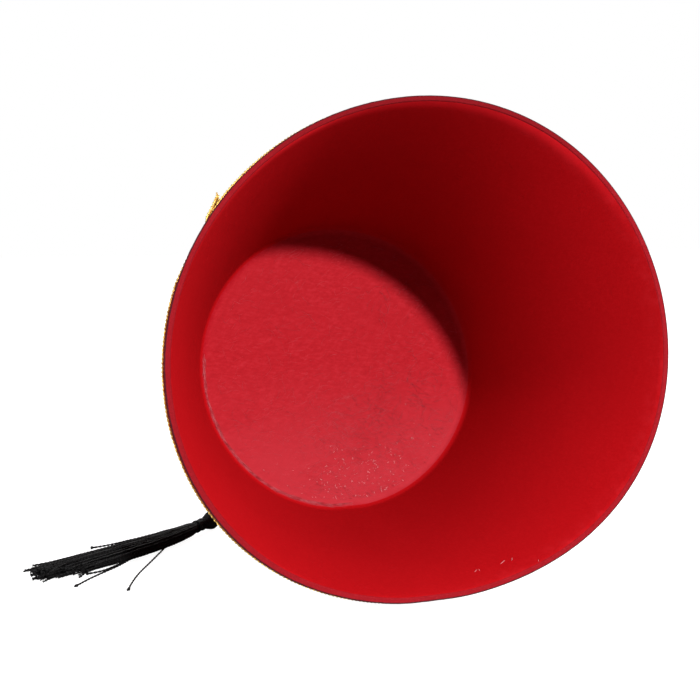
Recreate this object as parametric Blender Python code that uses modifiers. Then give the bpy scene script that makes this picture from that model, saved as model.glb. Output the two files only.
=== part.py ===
# A fez of moulded red felt with a gold braid round the rim and a black tassel on a cord.
# It lies on its side on the surface z = 0, as a hat put down does. Its opening faces -Y,
# its crown +Y, and the tassel lies on the same surface, to the left of the hat.
#
# Angles round the hat are in degrees as seen from in front of the opening: 0 is to the
# right, 90 is at the top and 270 is where the hat rests. "Rise" is the distance from the
# rim's plane along the hat's axis, up to HEIGHT at the outside of the crown.

import math

import bmesh
import bpy
from mathutils import Matrix, Vector

# Felt body, in metres
RIM_RADIUS = 0.0949
CROWN_RADIUS = 0.0674
HEIGHT = 0.1202
FELT = 0.0022
CORNER_RADIUS = 0.0065
RIM_ROUNDING = 0.0005

# How the soft rim has gone out of round: waves round it, as shares of RIM_RADIUS. They
# fade to nothing at the crown, which keeps its round shape.
RIM_WAVES = (
    {"waves": 2, "share": 0.0457, "peak_deg": 20.5},
    {"waves": 3, "share": 0.0112, "peak_deg": 86.5},
    {"waves": 4, "share": 0.0042, "peak_deg": 47.9},
)

# How far the lowest strip of the hat is pressed in by the surface that it lies on
PRESSED_IN = 0.0004

# Gold braid
BRAID_SETBACK = 0.0032
BRAID_WIDTH = 0.0060
BRAID_THICKNESS = 0.0013
BRAID_EDGE = 0.0004
LAP_AT_DEG = 146.3
LAP_LENGTH = 0.0080
LAP_THICKNESS = 0.0013

# Button on the crown
BUTTON_RADIUS = 0.0070
BUTTON_HEIGHT = 0.0036
BUTTON_EDGE = 0.0011

# The low dome of its face: how far out and how far below the top, as shares of the face's
# radius and of BUTTON_HEIGHT
BUTTON_DOME = (
    {"out": 0.0, "below": 0.0},
    {"out": 0.45, "below": 0.06},
    {"out": 0.8, "below": 0.25},
)

# Tassel and its cord
CORD_DIAMETER = 0.0020
TASSEL_LENGTH = 0.0886
HEAD_RADIUS = 0.0038
HEAD_ROUND_DEG = 108.0
NECK_RADIUS = 0.0016
NECK_AT = 0.0088
BINDING_THICKNESS = 0.0006
BINDING_WIDTH = 0.0048

# The tassel's skirt, from its neck to its cut ends. Lengths are shares of TASSEL_LENGTH.
SKIRT_SECTIONS = (
    {"along": 0.09, "half_width": 0.018, "half_height": 0.018},
    {"along": 0.17, "half_width": 0.040, "half_height": 0.034},
    {"along": 0.32, "half_width": 0.058, "half_height": 0.040},
    {"along": 0.55, "half_width": 0.073, "half_height": 0.041},
    {"along": 0.78, "half_width": 0.085, "half_height": 0.036},
    {"along": 1.00, "half_width": 0.098, "half_height": 0.026},
)
SKIRT_BOW = 0.072
LIES_FLAT_AT = 0.32

# The solid core inside the locks, as shares of TASSEL_LENGTH and of the skirt's section
CORE_SECTIONS = (
    {"along": 0.17, "filled": 0.72},
    {"along": 0.32, "filled": 0.72},
    {"along": 0.50, "filled": 0.72},
    {"along": 0.68, "filled": 0.72},
    {"along": 0.82, "filled": 0.50},
)

# The locks, one in the middle and the others round it: where their middles lie and their
# own sizes, as shares of the skirt's section, and their ends, as shares of TASSEL_LENGTH
LOCK_COUNT = 11
LOCK_STATIONS = 8
LOCK_SPREAD = 0.62
LOCK_WIDTH = 0.40
LOCK_HEIGHT = 0.36
LOCK_TIP = 0.60
LOCK_END = 0.93
LOCK_END_VARIES = 0.07
LOCK_STARTS_APART = 0.003
THREAD_PROUD = 0.0002

# Space left between pieces that touch
GAP = 0.0003

# Facets
ROUND_STEPS = 96
CORNER_STEPS = 4
WALL_STEPS = 5
BUTTON_STEPS = 24
HEAD_STEPS = 6
TASSEL_SIDES = 12
LOCK_SIDES = 6
BINDING_SIDES = 20

# Where the tassel's head lies, and the way that the tassel points, on the surface
HEAD_X = -0.0654
HEAD_Y = 0.0407
TASSEL_HEADING_DEG = 211.6

# The cord's middle line from the button to the tassel's head, as x, y, z on the surface.
# Its first and last points are worked out from the button and the head.
CORD_ROUTE = (
    (-0.0006, 0.0715, 0.0645),
    (-0.0016, 0.0745, 0.0610),
    (-0.0026, 0.0758, 0.0550),
    (-0.0038, 0.0761, 0.0460),
    (-0.0052, 0.0758, 0.0360),
    (-0.0072, 0.0752, 0.0260),
    (-0.0098, 0.0741, 0.0170),
    (-0.0132, 0.0724, 0.0095),
    (-0.0176, 0.0698, 0.0042),
    (-0.0230, 0.0664, 0.0016),
    (-0.0295, 0.0622, 0.00115),
    (-0.0365, 0.0577, 0.00115),
    (-0.0435, 0.0533, 0.00115),
    (-0.0505, 0.0489, 0.0014),
    (-0.0565, 0.0449, 0.0024),
)
CORD_POINTS_APART = 0.0045

RED_FELT = {"name": "red_felt", "colour": (0.45, 0.006, 0.010, 1.0), "rough": 0.75, "metal": 0.0}
GOLD = {"name": "gold_thread", "colour": (0.62, 0.40, 0.10, 1.0), "rough": 0.42, "metal": 0.8}
BLACK = {"name": "black_thread", "colour": (0.012, 0.012, 0.014, 1.0), "rough": 0.55, "metal": 0.0}
BUTTON_FELT = {"name": "black_button", "colour": (0.014, 0.013, 0.014, 1.0), "rough": 0.7, "metal": 0.0}


def taper():
    """Half angle of the cone that the wall lies on."""
    return math.atan2(RIM_RADIUS - CROWN_RADIUS, HEIGHT)


def out_of_round(angle):
    """How far the rim stands out at this angle, as a share of RIM_RADIUS."""
    return sum(
        row["share"] * math.cos(row["waves"] * (angle - math.radians(row["peak_deg"])))
        for row in RIM_WAVES
    )


def round_radius(rise):
    """Outer radius of the wall before it went out of round."""
    return RIM_RADIUS + (CROWN_RADIUS - RIM_RADIUS) * rise / HEIGHT


def wall_radius(rise, angle):
    """Outer radius of the wall as it is."""
    return round_radius(rise) + RIM_RADIUS * out_of_round(angle) * (1 - rise / HEIGHT)


STAND_OFF = GAP + BRAID_THICKNESS
DOWN = math.radians(270)
BRAID_RISE = BRAID_SETBACK + BRAID_WIDTH / 2
BRAID_BACK = BRAID_SETBACK + BRAID_WIDTH
CROWN_REST_RISE = HEIGHT - CORNER_RADIUS


def lowest_angle(rise):
    """Angle of the lowest point of the wall at this rise."""
    steps, window = 400, math.radians(40)
    near = [DOWN + window * (i / steps - 0.5) for i in range(steps + 1)]
    return min(near, key=lambda angle: wall_radius(rise, angle) * math.sin(angle))


def depth_below(rise):
    """How far below the axis the wall reaches at this rise."""
    angle = lowest_angle(rise)
    return -wall_radius(rise, angle) * math.sin(angle)


# The hat rests on its braid and on the end of its wall at the crown, and leans to suit.
BRAID_DEPTH = depth_below(BRAID_RISE) + STAND_OFF
LEAN = math.atan2(BRAID_DEPTH - depth_below(CROWN_REST_RISE), CROWN_REST_RISE - BRAID_RISE)
RIM_HEIGHT = BRAID_DEPTH * math.cos(LEAN) + BRAID_RISE * math.sin(LEAN) - PRESSED_IN
FRONT = -depth_below(0) * math.sin(LEAN)
BACK = HEIGHT * math.cos(LEAN) + (CROWN_RADIUS - CORNER_RADIUS) * math.sin(LEAN)
POSE = Matrix.Translation((0, -(FRONT + BACK) / 2, RIM_HEIGHT)) @ Matrix.Rotation(
    -(math.radians(90) + LEAN), 4, "X"
)


def on_hat(radius, angle, rise):
    """A point of the hat as it stands upright on its rim."""
    return Vector((radius * math.cos(angle), -radius * math.sin(angle), rise))


def press(point, angle, rise, share=1.0):
    """The same upright point after the surface has pressed the hat's lowest strip flat."""
    along = (rise - BRAID_BACK) / (CROWN_REST_RISE - BRAID_BACK)
    stand_off = STAND_OFF * (1 - min(max(along, 0.0), 1.0))
    outermost = POSE @ on_hat(wall_radius(rise, angle) + stand_off, angle, rise)
    placed = POSE @ point
    placed.z += share * max(0.0, -outermost.z)
    return POSE.inverted() @ placed


def settle(obj):
    """Move the turned felt out of round and press its lowest strip, the inside a bit less."""
    for vertex in obj.data.vertices:
        x, y, rise = vertex.co
        radius = math.hypot(x, y)
        angle = math.atan2(-y, x)
        reach = radius / round_radius(rise)
        grown = radius + RIM_RADIUS * out_of_round(angle) * (1 - rise / HEIGHT) * reach
        vertex.co = press(on_hat(grown, angle, rise), angle, rise, reach**4)


def clear_scene():
    for obj in list(bpy.data.objects):
        bpy.data.objects.remove(obj, do_unlink=True)


def material(spec):
    made = bpy.data.materials.new(spec["name"])
    made.use_nodes = True
    shader = made.node_tree.nodes["Principled BSDF"]
    shader.inputs["Base Color"].default_value = spec["colour"]
    shader.inputs["Roughness"].default_value = spec["rough"]
    shader.inputs["Metallic"].default_value = spec["metal"]
    return made


def ring_mesh(name, rings, closed=True):
    """A body through rings of points: closed on itself, or with a face at each end."""
    build = bmesh.new()
    made = [[build.verts.new(place) for place in ring] for ring in rings]
    pairs = list(zip(made, made[1:]))
    if closed:
        pairs.append((made[-1], made[0]))
    else:
        build.faces.new(made[0])
        build.faces.new(made[-1])
    for here, there in pairs:
        for i in range(len(here)):
            j = (i + 1) % len(here)
            build.faces.new((here[i], here[j], there[j], there[i]))
    bmesh.ops.recalc_face_normals(build, faces=build.faces)
    mesh = bpy.data.meshes.new(name)
    build.to_mesh(mesh)
    build.free()
    return mesh


def add(name, data, collection, finish, parent=None):
    obj = bpy.data.objects.new(name, data)
    collection.objects.link(obj)
    obj.parent = parent
    if finish is not None:
        obj.data.materials.append(finish)
    return obj


def smooth(mesh, sharp_deg=35):
    mesh.shade_smooth()
    mesh.set_sharp_from_angle(angle=math.radians(sharp_deg))


def arc(centre, radius, start_deg, end_deg, steps):
    """Points (radius out, rise) on an arc, with both ends."""
    points = []
    for i in range(steps + 1):
        turn = math.radians(start_deg + (end_deg - start_deg) * i / steps)
        points.append((centre[0] + radius * math.cos(turn), centre[1] + radius * math.sin(turn)))
    return points


def felt_profile():
    """Half section of the felt from the outside of the crown, round the rim, to its inside."""
    slope = taper()
    wall_deg = math.degrees(slope)
    inner_corner = CORNER_RADIUS - FELT
    # The corner's middle lies CORNER_RADIUS in from the wall's outside and from the crown's.
    middle = (
        round_radius(HEIGHT - CORNER_RADIUS) - CORNER_RADIUS / math.cos(slope),
        HEIGHT - CORNER_RADIUS,
    )
    wall_in = FELT / math.cos(slope)
    soft = RIM_ROUNDING
    outside = [(0, HEIGHT)] + arc(middle, CORNER_RADIUS, 90, wall_deg, CORNER_STEPS)
    inside = arc(middle, inner_corner, wall_deg, 90, CORNER_STEPS) + [(0, HEIGHT - FELT)]
    outer_start, inner_end = outside[-1], inside[0]
    for i in range(1, WALL_STEPS):
        rise = outer_start[1] * (1 - i / WALL_STEPS)
        outside.append((round_radius(rise), rise))
    rim = [
        (round_radius(soft), soft),
        (round_radius(0) - soft, 0),
        (round_radius(0) - wall_in + soft, 0),
        (round_radius(soft) - wall_in, soft),
    ]
    up = []
    for i in range(1, WALL_STEPS):
        rise = inner_end[1] * i / WALL_STEPS
        up.append((round_radius(rise) - wall_in, rise))
    return outside + rim + up + inside


def turn(name, profile, steps, collection, finish, parent=None):
    """A closed body turned about the upright axis from (radius, rise) points."""
    outline = bpy.data.meshes.new(name + "_outline")
    outline.from_pydata(
        [(r, 0, z) for r, z in profile], [(i, i + 1) for i in range(len(profile) - 1)], []
    )
    turned = bpy.data.objects.new(name + "_outline", outline)
    collection.objects.link(turned)
    screw = turned.modifiers.new("turn", "SCREW")
    screw.steps = steps
    screw.render_steps = steps
    screw.use_merge_vertices = True
    screw.merge_threshold = 0.00001
    bpy.context.view_layer.update()
    evaluated = turned.evaluated_get(bpy.context.evaluated_depsgraph_get())
    mesh = bpy.data.meshes.new_from_object(evaluated)
    mesh.name = name
    bpy.data.objects.remove(turned, do_unlink=True)
    return add(name, mesh, collection, finish, parent)


def make_felt_body(collection, finish, hat):
    body = turn("felt_body", felt_profile(), ROUND_STEPS, collection, finish, hat)
    settle(body)
    smooth(body.data)
    return body


def braid_section(lap):
    """(rise, stand-off from the wall) round the braid's section; lap is 0 to 1."""
    top = GAP + BRAID_THICKNESS + LAP_THICKNESS * lap
    front, back = BRAID_SETBACK, BRAID_BACK
    return (
        (front, GAP),
        (front, top - BRAID_EDGE),
        (front + BRAID_EDGE, top),
        (back - BRAID_EDGE, top),
        (back, top - BRAID_EDGE),
        (back, GAP),
    )


def braid_stations():
    """(angle, lap) round the braid, with close pairs at the two steps of the lap."""
    middle = math.radians(LAP_AT_DEG)
    half = LAP_LENGTH / 2 / round_radius(BRAID_RISE)
    ramp = BRAID_THICKNESS / 2 / round_radius(BRAID_RISE)
    stations = []
    for i in range(ROUND_STEPS):
        angle = math.tau * i / ROUND_STEPS
        if abs(angle - middle) > half + 2 * ramp:
            stations.append((angle, 0.0))
    for offset, lap in ((-half - ramp, 0), (-half, 1), (0, 1), (half, 1), (half + ramp, 0)):
        stations.append((middle + offset, float(lap)))
    return sorted(stations)


def make_gold_braid(collection, finish, hat):
    rings = []
    for angle, lap in braid_stations():
        ring = []
        for rise, stand_off in braid_section(lap):
            point = on_hat(wall_radius(rise, angle) + stand_off, angle, rise)
            ring.append(press(point, angle, rise))
        rings.append(ring)
    mesh = ring_mesh("gold_braid", rings)
    smooth(mesh, 50)
    return add("gold_braid", mesh, collection, finish, hat)


def make_crown_button(collection, finish, hat):
    base = HEIGHT + GAP
    top = base + BUTTON_HEIGHT
    face = BUTTON_RADIUS - BUTTON_EDGE
    profile = [(face * row["out"], top - BUTTON_HEIGHT * row["below"]) for row in BUTTON_DOME]
    profile += arc((face, base + BUTTON_EDGE), BUTTON_EDGE, 55, -55, 3)
    profile += [(face, base), (0, base)]
    button = turn("crown_button", profile, BUTTON_STEPS, collection, finish, hat)
    smooth(button.data)
    return button


def tassel_matrix():
    """Places the tassel, which is modelled along +X with its head's middle at the origin."""
    return Matrix.Translation((HEAD_X, HEAD_Y, 0)) @ Matrix.Rotation(
        math.radians(TASSEL_HEADING_DEG), 4, "Z"
    )


def skirt_at(along):
    """Half width and half height of the skirt at a share of the tassel's length."""
    rows = SKIRT_SECTIONS
    if along <= rows[0]["along"]:
        return rows[0]["half_width"] * TASSEL_LENGTH, rows[0]["half_height"] * TASSEL_LENGTH
    for low, high in zip(rows, rows[1:]):
        if along <= high["along"]:
            part = (along - low["along"]) / (high["along"] - low["along"])
            return tuple(
                (low[k] + (high[k] - low[k]) * part) * TASSEL_LENGTH for k in ("half_width", "half_height")
            )
    return rows[-1]["half_width"] * TASSEL_LENGTH, rows[-1]["half_height"] * TASSEL_LENGTH


def tassel_line(along):
    """Middle of the tassel at a share of its length: a low bow on the surface."""
    skirt_height = skirt_at(along)[1] + GAP
    neck_end = (NECK_AT + BINDING_WIDTH / 2 + GAP) / TASSEL_LENGTH
    lowered = min(max((along - neck_end) / (LIES_FLAT_AT - neck_end), 0.0), 1.0)
    height = HEAD_RADIUS + (skirt_height - HEAD_RADIUS) * lowered
    sideways = SKIRT_BOW * TASSEL_LENGTH * math.sin(math.pi * along)
    return Vector((along * TASSEL_LENGTH, sideways, height))


def neck_ends():
    """The two ends of the straight neck that the binding goes round."""
    half = BINDING_WIDTH / 2 + GAP
    return [tassel_line((NECK_AT + side * half) / TASSEL_LENGTH) for side in (-1, 1)]


def fuse(target, others):
    """Boolean union of the others into the target; the others are removed."""
    for other in others:
        union = target.modifiers.new("fuse", "BOOLEAN")
        union.operation = "UNION"
        union.solver = "EXACT"
        union.object = other
    bpy.context.view_layer.update()
    evaluated = target.evaluated_get(bpy.context.evaluated_depsgraph_get())
    mesh = bpy.data.meshes.new_from_object(evaluated)
    target.modifiers.clear()
    target.data = mesh
    for other in others:
        bpy.data.objects.remove(other, do_unlink=True)
    return target


def tube_rings(centres, half_sizes, sides, turned=0.5):
    """Elliptical sections across +X round the centres, each turned by a share of a side."""
    rings = []
    for centre, (half_width, half_height) in zip(centres, half_sizes):
        ring = []
        for i in range(sides):
            turn_by = math.tau * (i + turned) / sides
            offset = Vector((0, half_width * math.cos(turn_by), half_height * math.sin(turn_by)))
            ring.append(centre + offset)
        rings.append(ring)
    return rings


def make_lock(index, collection):
    """One lock of the skirt: it starts behind the binding and keeps its place in the skirt."""
    turn_by = math.tau * (index + 0.3) / (LOCK_COUNT - 1)
    across, upward = LOCK_SPREAD * math.cos(turn_by), LOCK_SPREAD * math.sin(turn_by)
    if index == LOCK_COUNT - 1:
        across, upward = 0.0, 0.0
    end = LOCK_END + LOCK_END_VARIES * math.sin(2.4 * index + 0.6)
    start = (NECK_AT + BINDING_WIDTH / 2 + 2 * GAP) / TASSEL_LENGTH + LOCK_STARTS_APART * index
    centres, half_sizes = [], []
    for i in range(LOCK_STATIONS + 1):
        along = start + (end - start) * i / LOCK_STATIONS
        half_width, half_height = skirt_at(along)
        centres.append(
            tassel_line(along) + Vector((0, across * half_width, upward * half_height))
        )
        tip = 1.0 if i < LOCK_STATIONS else LOCK_TIP
        half_sizes.append(
            (
                tip * LOCK_WIDTH * half_width + THREAD_PROUD,
                tip * LOCK_HEIGHT * half_height + THREAD_PROUD,
            )
        )
    rings = tube_rings(centres, half_sizes, LOCK_SIDES, 0.37 * index)
    return add(f"lock_{index}", ring_mesh(f"lock_{index}", rings, closed=False), collection, None)


def make_tassel(collection, finish):
    """Head, neck and the skirt's core as one tube, with the locks fused to it. The head is
    round for HEAD_ROUND_DEG from the cord and then narrows evenly to the neck."""
    centres, half_sizes = [], []
    for i in range(HEAD_STEPS + 1):
        turn_by = math.radians(HEAD_ROUND_DEG) * max(i, 0.3) / HEAD_STEPS
        size = HEAD_RADIUS * math.sin(turn_by)
        centres.append(tassel_line(0) - Vector((HEAD_RADIUS * math.cos(turn_by), 0, 0)))
        half_sizes.append((size, size))
    centres += neck_ends()
    half_sizes += [(NECK_RADIUS, NECK_RADIUS)] * 2
    for row in CORE_SECTIONS:
        half_width, half_height = skirt_at(row["along"])
        centres.append(tassel_line(row["along"]))
        half_sizes.append((row["filled"] * half_width, row["filled"] * half_height))
    rings = tube_rings(centres, half_sizes, TASSEL_SIDES)
    tassel = add("tassel", ring_mesh("tassel", rings, closed=False), collection, None)
    fuse(tassel, [make_lock(i, collection) for i in range(LOCK_COUNT)])
    tassel.data.materials.clear()
    tassel.data.materials.append(finish)
    tassel.matrix_world = tassel_matrix()
    smooth(tassel.data)
    return tassel


def make_tassel_binding(collection, finish):
    """Thread wound round the tassel's neck, as a low ring."""
    inner = NECK_RADIUS + GAP
    outer = inner + BINDING_THICKNESS
    half = BINDING_WIDTH / 2
    soft = BINDING_THICKNESS / 2
    outline = [
        (inner, half - soft),
        (outer - soft, half),
        (outer, half - soft),
        (outer, -half + soft),
        (outer - soft, -half),
        (inner, -half + soft),
    ]
    rings = []
    for i in range(BINDING_SIDES):
        turn_by = math.tau * i / BINDING_SIDES
        across, upward = math.cos(turn_by), math.sin(turn_by)
        rings.append([Vector((along, radius * across, radius * upward)) for radius, along in outline])
    mesh = ring_mesh("tassel_binding", rings)
    binding = add("tassel_binding", mesh, collection, finish)
    start, end = neck_ends()
    round_the_neck = (end - start).to_track_quat("X", "Z").to_matrix().to_4x4()
    binding.matrix_world = tassel_matrix() @ Matrix.Translation((start + end) / 2) @ round_the_neck
    smooth(mesh)
    return binding


def smooth_path(points, apart):
    """Points a given distance apart on the smooth curve through the given ones."""
    ends = [points[0] * 2 - points[1]] + list(points) + [points[-1] * 2 - points[-2]]
    fine = []
    fine_steps = 16
    for before, start, end, after in zip(ends, ends[1:], ends[2:], ends[3:]):
        for i in range(fine_steps):
            t = i / fine_steps
            fine.append(
                0.5
                * (
                    2 * start
                    + (end - before) * t
                    + (2 * before - 5 * start + 4 * end - after) * t**2
                    + (3 * start - before - 3 * end + after) * t**3
                )
            )
    fine.append(points[-1])
    length = sum((b - a).length for a, b in zip(fine, fine[1:]))
    count = max(2, round(length / apart))
    spaced, walked, index = [fine[0]], 0.0, 0
    for i in range(1, count):
        target = length * i / count
        while walked + (fine[index + 1] - fine[index]).length < target:
            walked += (fine[index + 1] - fine[index]).length
            index += 1
        step = fine[index + 1] - fine[index]
        spaced.append(fine[index] + step * ((target - walked) / step.length))
    spaced.append(fine[-1])
    return spaced


def cord_points():
    """The cord's route from the button's face to the tassel's head."""
    leave = POSE @ Vector((0, 0, HEIGHT + GAP + BUTTON_HEIGHT + GAP))
    outward = (POSE.to_3x3() @ Vector((0, 0, 1))).normalized()
    head = tassel_matrix() @ tassel_line(0)
    last = Vector(CORD_ROUTE[-1])
    arrive = head + (last - head).normalized() * (HEAD_RADIUS + GAP)
    return [leave, leave + outward * CORD_DIAMETER] + [Vector(p) for p in CORD_ROUTE] + [arrive]


def make_tassel_cord(collection, finish):
    route = smooth_path(cord_points(), CORD_POINTS_APART)
    curve = bpy.data.curves.new("tassel_cord", "CURVE")
    curve.dimensions = "3D"
    curve.bevel_depth = CORD_DIAMETER / 2
    curve.bevel_resolution = 2
    curve.use_fill_caps = True
    spline = curve.splines.new("POLY")
    spline.points.add(len(route) - 1)
    for point, place in zip(spline.points, route):
        point.co = (*place, 1)
    spline.use_smooth = True
    return add("tassel_cord", curve, collection, finish)


def main():
    clear_scene()
    collection = bpy.data.collections.new("fez")
    bpy.context.scene.collection.children.link(collection)
    hat = bpy.data.objects.new("hat_lying", None)
    collection.objects.link(hat)
    hat.matrix_world = POSE
    red, gold = material(RED_FELT), material(GOLD)
    black, button = material(BLACK), material(BUTTON_FELT)
    make_felt_body(collection, red, hat)
    make_gold_braid(collection, gold, hat)
    make_crown_button(collection, button, hat)
    make_tassel(collection, black)
    make_tassel_binding(collection, black)
    make_tassel_cord(collection, black)


main()
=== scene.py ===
# The looks of the fez: red felt, gold braid, covered button, black cord and tassel.
# The hat lies on its side on the floor, z = 0, with its opening towards -Y.
#
# Angles round the hat are as seen from in front of the opening: 0 is to the right, 90 at
# the top and 270 where it rests. "Rise" is the distance from the rim's plane along the
# hat's axis. The hat's pieces are made as it stands upright, and HAT_POSE lays them down.

import math

import bpy
import numpy as np
from mathutils import Matrix, Vector, noise


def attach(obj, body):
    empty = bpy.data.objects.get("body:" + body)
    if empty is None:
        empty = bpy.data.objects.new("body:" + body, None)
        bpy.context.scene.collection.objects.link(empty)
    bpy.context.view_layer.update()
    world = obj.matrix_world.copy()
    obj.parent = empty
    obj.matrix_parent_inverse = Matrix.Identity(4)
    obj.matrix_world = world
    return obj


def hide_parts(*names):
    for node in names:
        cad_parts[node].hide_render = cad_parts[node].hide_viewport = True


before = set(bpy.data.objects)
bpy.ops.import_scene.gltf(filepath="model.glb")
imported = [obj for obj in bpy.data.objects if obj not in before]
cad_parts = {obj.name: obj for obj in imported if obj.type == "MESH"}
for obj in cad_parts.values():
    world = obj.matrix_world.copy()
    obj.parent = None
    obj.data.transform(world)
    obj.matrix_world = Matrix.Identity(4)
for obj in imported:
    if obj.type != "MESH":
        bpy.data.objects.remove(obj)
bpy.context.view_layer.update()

# Felt, in metres, as in the frame
RIM_RADIUS = 0.0949
CROWN_RADIUS = 0.0674
HEIGHT = 0.1202
FELT = 0.0022
CORNER_RADIUS = 0.0065
RIM_ROUNDING = 0.0005
CROWN_FLAT_RADIUS = 0.060
RIM_WAVES = (
    {"waves": 2, "share": 0.0457, "peak_deg": 20.5},
    {"waves": 3, "share": 0.0112, "peak_deg": 86.5},
    {"waves": 4, "share": 0.0042, "peak_deg": 47.9},
)
PRESSED_IN = 0.0004
PRESS_EASE = 0.0004
GAP = 0.0003

# Braid
BRAID_SETBACK = 0.0032
BRAID_WIDTH = 0.0060
BRAID_THICKNESS = 0.0013
LAP_AT_DEG = 146.3
LAP_LENGTH = 0.0080
LAP_THICKNESS = 0.0011
LAP_RAMP = 0.0030
BRAID_STRANDS = 5
BRAID_STRAND_RADIUS = 0.00033
BRAID_REPEAT = 0.0070
BRAID_HUGS = {"at_deg": 155.0, "half_width_deg": 10.0, "by": 0.00075}

# Lint on the wall: the angle round the hat, the rise, the length and the slant of each speck
LINT = (
    {"at_deg": 280.3, "rise": 0.0137, "long": 0.0020, "slant_deg": 25},
    {"at_deg": 281.2, "rise": 0.0134, "long": 0.0014, "slant_deg": 70},
    {"at_deg": 287.6, "rise": 0.0125, "long": 0.0030, "slant_deg": 12},
    {"at_deg": 290.1, "rise": 0.0117, "long": 0.0018, "slant_deg": 40},
    {"at_deg": 293.6, "rise": 0.0016, "long": 0.0012, "slant_deg": 60},
)

# Button
BUTTON_RADIUS = 0.0070
BUTTON_HEIGHT = 0.0036

# Cord and tassel
CORD_DIAMETER = 0.0020
CORD_PLIES = 3
CORD_INSIDE = 0.50
CORD_TWIST = 0.0062
CORD_ROUTE = (
    (-0.0006, 0.0715, 0.0645),
    (-0.0016, 0.0745, 0.0610),
    (-0.0026, 0.0758, 0.0550),
    (-0.0038, 0.0761, 0.0460),
    (-0.0052, 0.0758, 0.0360),
    (-0.0072, 0.0752, 0.0260),
    (-0.0098, 0.0741, 0.0170),
    (-0.0132, 0.0724, 0.0095),
    (-0.0176, 0.0698, 0.0042),
    (-0.0230, 0.0664, 0.0016),
    (-0.0295, 0.0622, 0.00115),
    (-0.0365, 0.0577, 0.00115),
    (-0.0435, 0.0533, 0.00115),
    (-0.0505, 0.0489, 0.0014),
    (-0.0565, 0.0449, 0.0024),
)
HEAD_X = -0.0654
HEAD_Y = 0.0407
TASSEL_HEADING_DEG = 211.6
TASSEL_LENGTH = 0.0886
HEAD_RADIUS = 0.0038
HEAD_ROUND_DEG = 108.0
NECK_RADIUS = 0.0016
NECK_AT = 0.0088
BINDING_WIDTH = 0.0048
BINDING_TURNS = 9
SKIRT_SECTIONS = (
    {"along": 0.09, "half_width": 0.018, "half_height": 0.018},
    {"along": 0.17, "half_width": 0.040, "half_height": 0.034},
    {"along": 0.32, "half_width": 0.058, "half_height": 0.040},
    {"along": 0.55, "half_width": 0.073, "half_height": 0.041},
    {"along": 0.78, "half_width": 0.085, "half_height": 0.036},
    {"along": 1.00, "half_width": 0.098, "half_height": 0.026},
)
SKIRT_BOW = 0.072
LIES_FLAT_AT = 0.32
# Where the threads end, as shares of TASSEL_LENGTH, from the far side of the skirt (-1) to
# the near side (1)
SKIRT_ENDS = (
    {"across": -1.0, "end": 0.94},
    {"across": -0.4, "end": 1.00},
    {"across": 0.2, "end": 0.97},
    {"across": 0.6, "end": 0.88},
    {"across": 1.0, "end": 0.80},
)
THREAD_COUNT = 118
THREAD_RADIUS = 0.00031

# Loose threads that have left the skirt, as pixels of the 700 pixel photograph where they
# lie on the floor, from the skirt to their ends
LOOSE_THREADS = (
    ((166, 532), (152, 534.5), (139, 538), (128, 540.5), (117, 543.2), (103, 546), (91, 548)),
    ((170, 542), (164, 548.6), (157.7, 555), (151.4, 561.3), (138.6, 574), (131, 584.5), (128.4, 590)),
    ((146, 549), (134, 557), (119.5, 565.2), (106.7, 571), (96, 575.8), (87.6, 579.8), (75.3, 586.4)),
    ((142, 551), (132, 557.2), (121, 563.2), (111, 567.8), (100.4, 571.3), (86.6, 574)),
    ((120, 556), (110, 560.5), (98, 566), (88, 571), (80, 577)),
)

# Camera, fitted to the outlines of the rim and of the crown
CAMERA_AT = (-0.14698, -0.40311, 0.13720)
CAMERA_YAW_DEG = 18.176
CAMERA_PITCH_DEG = 7.409
FOCAL_PX = 1050.0
IMAGE_PX = 700

# Lights: the key light is a sun, the soft boxes are square or nearly so and face the hat
KEY_AZIMUTH_DEG = 15.9
KEY_ELEVATION_DEG = 27.5
KEY_WIDTH_DEG = 3.8
KEY_STRENGTH = 5.7
HAT_MIDDLE_HEIGHT = 0.09
SOFTBOXES = (
    {"name": "left_box", "azimuth_deg": -68, "elevation_deg": 12, "distance": 1.1, "size": (0.8, 0.9),
     "radiance": 8.5},
    {"name": "right_box", "azimuth_deg": 72, "elevation_deg": 20, "distance": 1.1, "size": (0.8, 0.9),
     "radiance": 3.8},
    {"name": "top_box", "azimuth_deg": 0, "elevation_deg": 78, "distance": 1.1, "size": (0.9, 0.7),
     "radiance": 2.0},
    {"name": "back_box", "azimuth_deg": 160, "elevation_deg": 40, "distance": 1.2, "size": (0.9, 0.9),
     "radiance": 6.0},
)

rng = np.random.default_rng(7)


# Shape of the hat


def out_of_round(angle):
    return sum(
        row["share"] * np.cos(row["waves"] * (angle - math.radians(row["peak_deg"])))
        for row in RIM_WAVES
    )


def round_radius(rise):
    return RIM_RADIUS + (CROWN_RADIUS - RIM_RADIUS) * rise / HEIGHT


def wall_radius(rise, angle):
    return round_radius(rise) + RIM_RADIUS * out_of_round(angle) * (1 - rise / HEIGHT)


TAPER = math.atan2(RIM_RADIUS - CROWN_RADIUS, HEIGHT)
WALL_IN = FELT / math.cos(TAPER)
STAND_OFF = GAP + BRAID_THICKNESS
BRAID_RISE = BRAID_SETBACK + BRAID_WIDTH / 2
BRAID_BACK = BRAID_SETBACK + BRAID_WIDTH
CROWN_REST_RISE = HEIGHT - CORNER_RADIUS


def depth_below(rise):
    """How far below the axis the wall reaches at this rise."""
    angles = np.radians(np.linspace(250, 290, 401))
    return float(np.max(-wall_radius(rise, angles) * np.sin(angles)))


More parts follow.
